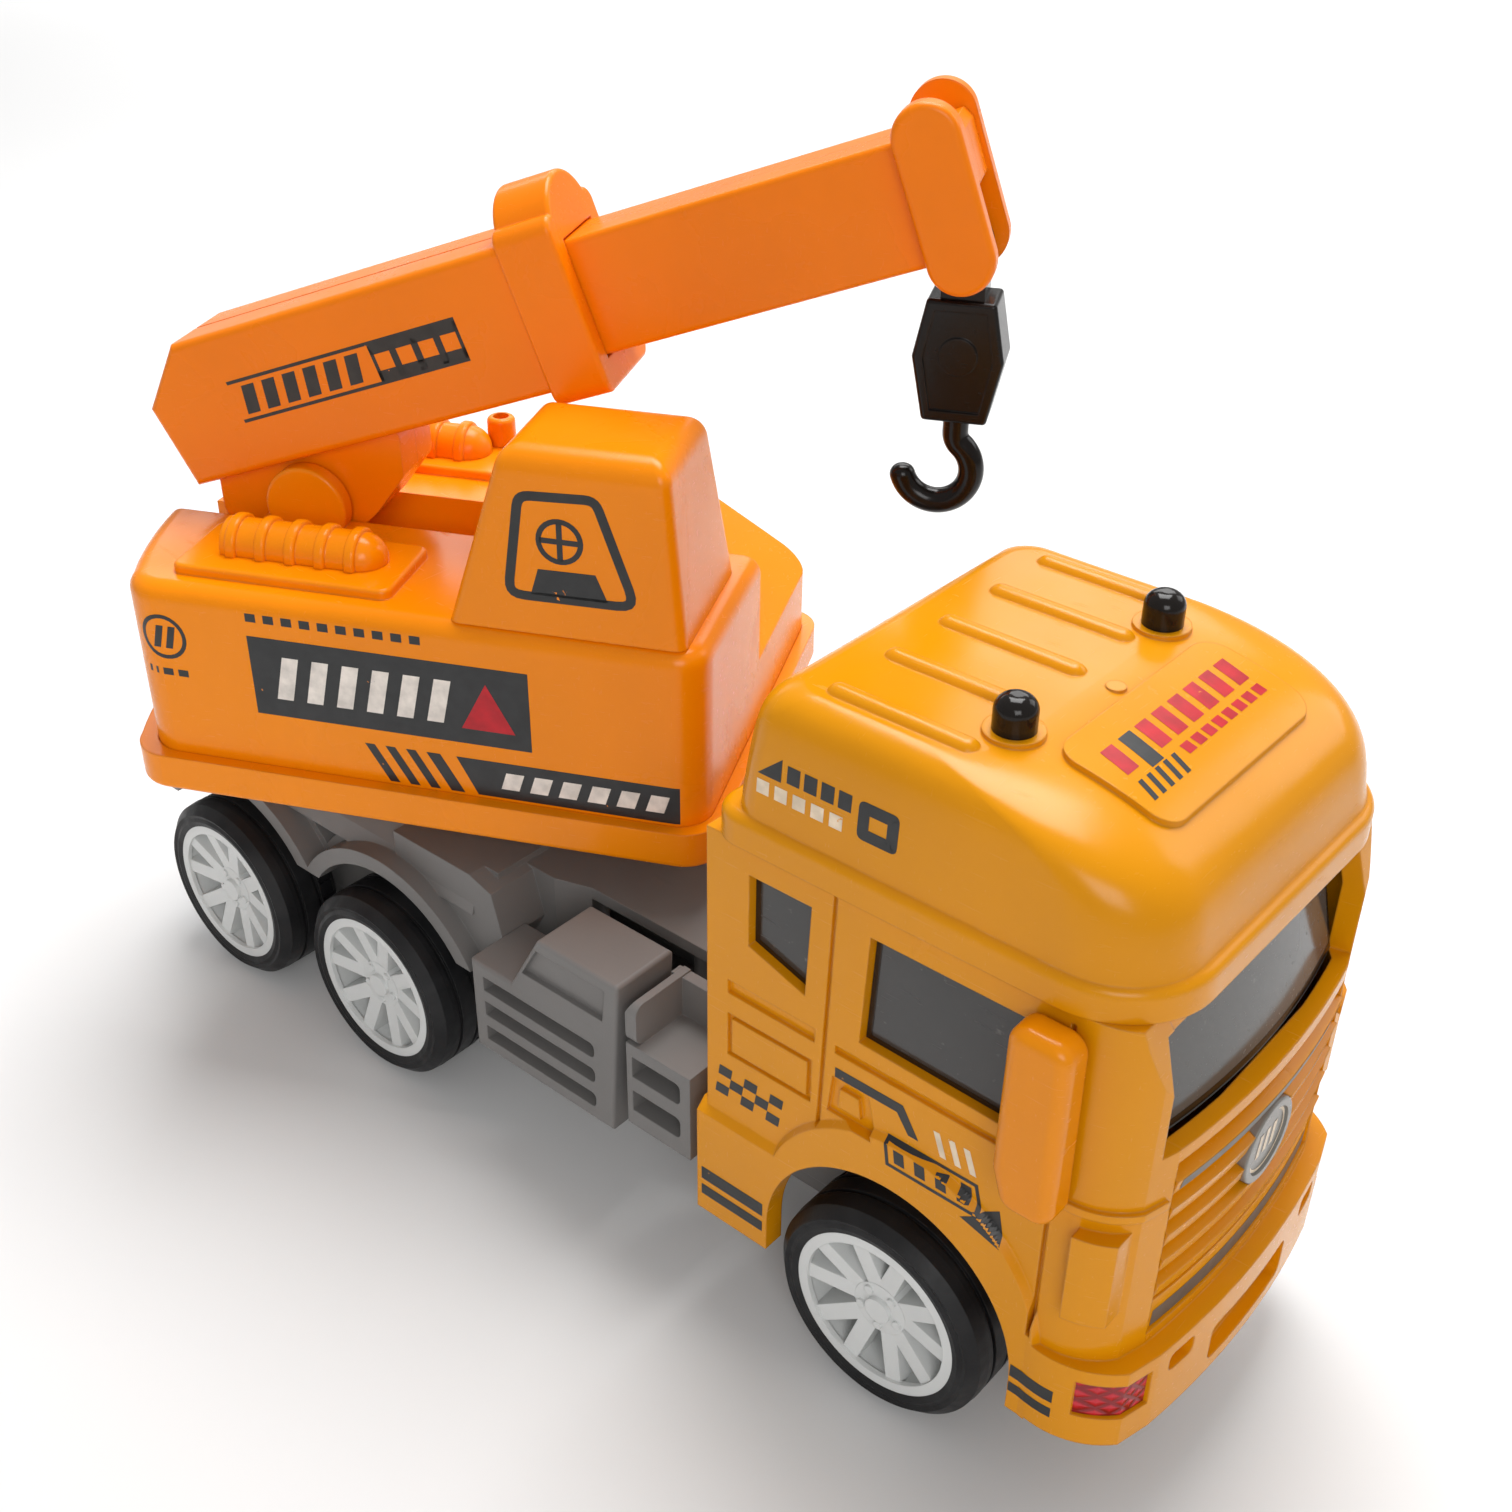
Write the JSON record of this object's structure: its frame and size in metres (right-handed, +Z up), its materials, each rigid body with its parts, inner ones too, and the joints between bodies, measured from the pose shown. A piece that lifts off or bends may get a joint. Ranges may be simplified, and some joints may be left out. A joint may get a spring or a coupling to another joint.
{
  "type": "toy crane truck",
  "caption": "Toy crane truck with a hollow cab, spoked wheels on plain axles, a slewing superstructure, a luffing telescopic boom and a swinging hook.",
  "frame": {"origin": "on the ground under the middle of the bounding box, in the pose with the superstructure turned 26.3 degrees to the left, the boom raised 20 degrees and fully drawn out", "axes": "+X is forward, towards the cab front; +Y is to the left; +Z is up"},
  "size_m": [0.196, 0.099, 0.1501],
  "materials": {
    "chassis_grey": "satin moulded grey plastic",
    "steel": "zinc plated steel",
    "cab_yellow": "glossy moulded plastic",
    "upper_orange": "glossy moulded plastic",
    "window_dark": "dark tinted glossy plastic",
    "lamp_red": "red glossy plastic",
    "beacon_black": "black glossy plastic",
    "rim_grey": "light grey satin plastic",
    "tyre": "soft black plastic",
    "hook_black": "black glossy plastic",
    "inner_nylon": "moulded plastic"
  },
  "bodies": {
    "truck": {"chassis_frame": "chassis_grey", "underside_cover": "chassis_grey", "base_screws": "steel", "side_tank_left": "chassis_grey", "side_tank_right": "chassis_grey", "side_step_left": "chassis_grey", "side_step_right": "chassis_grey", "cab_screws": "steel", "cab_shell": "cab_yellow", "cab_roof": "cab_yellow", "front_grille": "cab_yellow", "front_emblem": "inner_nylon", "windscreen": "window_dark", "side_glass_left": "window_dark", "side_glass_right": "window_dark", "mirror_left": "upper_orange", "mirror_right": "upper_orange", "roof_beacons": "beacon_black", "lamp_left": "lamp_red", "lamp_right": "lamp_red", "slew_post": "chassis_grey", "slew_washer": "steel", "slew_screw": "steel"},
    "front_wheels": {"axle_front": "steel", "rim_front_left": "rim_grey", "tyre_front_left": "tyre", "rim_front_right": "rim_grey", "tyre_front_right": "tyre"},
    "middle_wheels": {"axle_middle": "steel", "rim_middle_left": "rim_grey", "tyre_middle_left": "tyre", "rim_middle_right": "rim_grey", "tyre_middle_right": "tyre"},
    "rear_wheels": {"axle_rear": "steel", "rim_rear_left": "rim_grey", "tyre_rear_left": "tyre", "rim_rear_right": "rim_grey", "tyre_rear_right": "tyre"},
    "superstructure": {"slew_base": "upper_orange", "upper_housing": "upper_orange", "housing_screws": "steel", "operator_cabin": "upper_orange", "canister_left": "upper_orange", "canister_right": "upper_orange", "exhaust_stub": "upper_orange", "boom_pivot_pin": "steel"},
    "outer_boom": {"outer_boom_left": "upper_orange", "outer_boom_right": "upper_orange", "boom_collar": "upper_orange", "boom_screws": "steel"},
    "inner_boom": {"inner_boom_left": "upper_orange", "inner_boom_right": "upper_orange", "head_plate_left": "upper_orange", "head_plate_right": "upper_orange", "hook_pin": "steel"},
    "hook_unit": {"hook_block": "hook_black", "hook": "hook_black"}
  },
  "joints": [
    {"name": "front_wheels_spin", "type": "hinge", "parent": "truck", "child": "front_wheels", "pos_m": [0.06067, -0.00665, 0.016], "axis": [0, 1, 0], "continuous": true},
    {"name": "middle_wheels_spin", "type": "hinge", "parent": "truck", "child": "middle_wheels", "pos_m": [-0.03793, -0.00665, 0.016], "axis": [0, 1, 0], "continuous": true},
    {"name": "rear_wheels_spin", "type": "hinge", "parent": "truck", "child": "rear_wheels", "pos_m": [-0.07613, -0.00665, 0.016], "axis": [0, 1, 0], "continuous": true},
    {"name": "slew", "type": "hinge", "parent": "truck", "child": "superstructure", "pos_m": [-0.05703, -0.00665, 0.0495], "axis": [0, 0, 1], "continuous": true},
    {"name": "luff", "type": "hinge", "parent": "superstructure", "child": "outer_boom", "pos_m": [-0.06599, -0.01108, 0.0856], "axis": [0.4431, -0.8965, 0], "range_deg": [0, 26]},
    {"name": "telescope", "type": "slide", "parent": "outer_boom", "child": "inner_boom", "axis": [0.8424, 0.4164, 0.342], "range_m": [-0.03, 0]},
    {"name": "hook_swing", "type": "hinge", "parent": "inner_boom", "child": "hook_unit", "pos_m": [0.01959, 0.03122, 0.13088], "axis": [0.4431, -0.8965, 0], "range_deg": [-22, 60]}
  ]
}
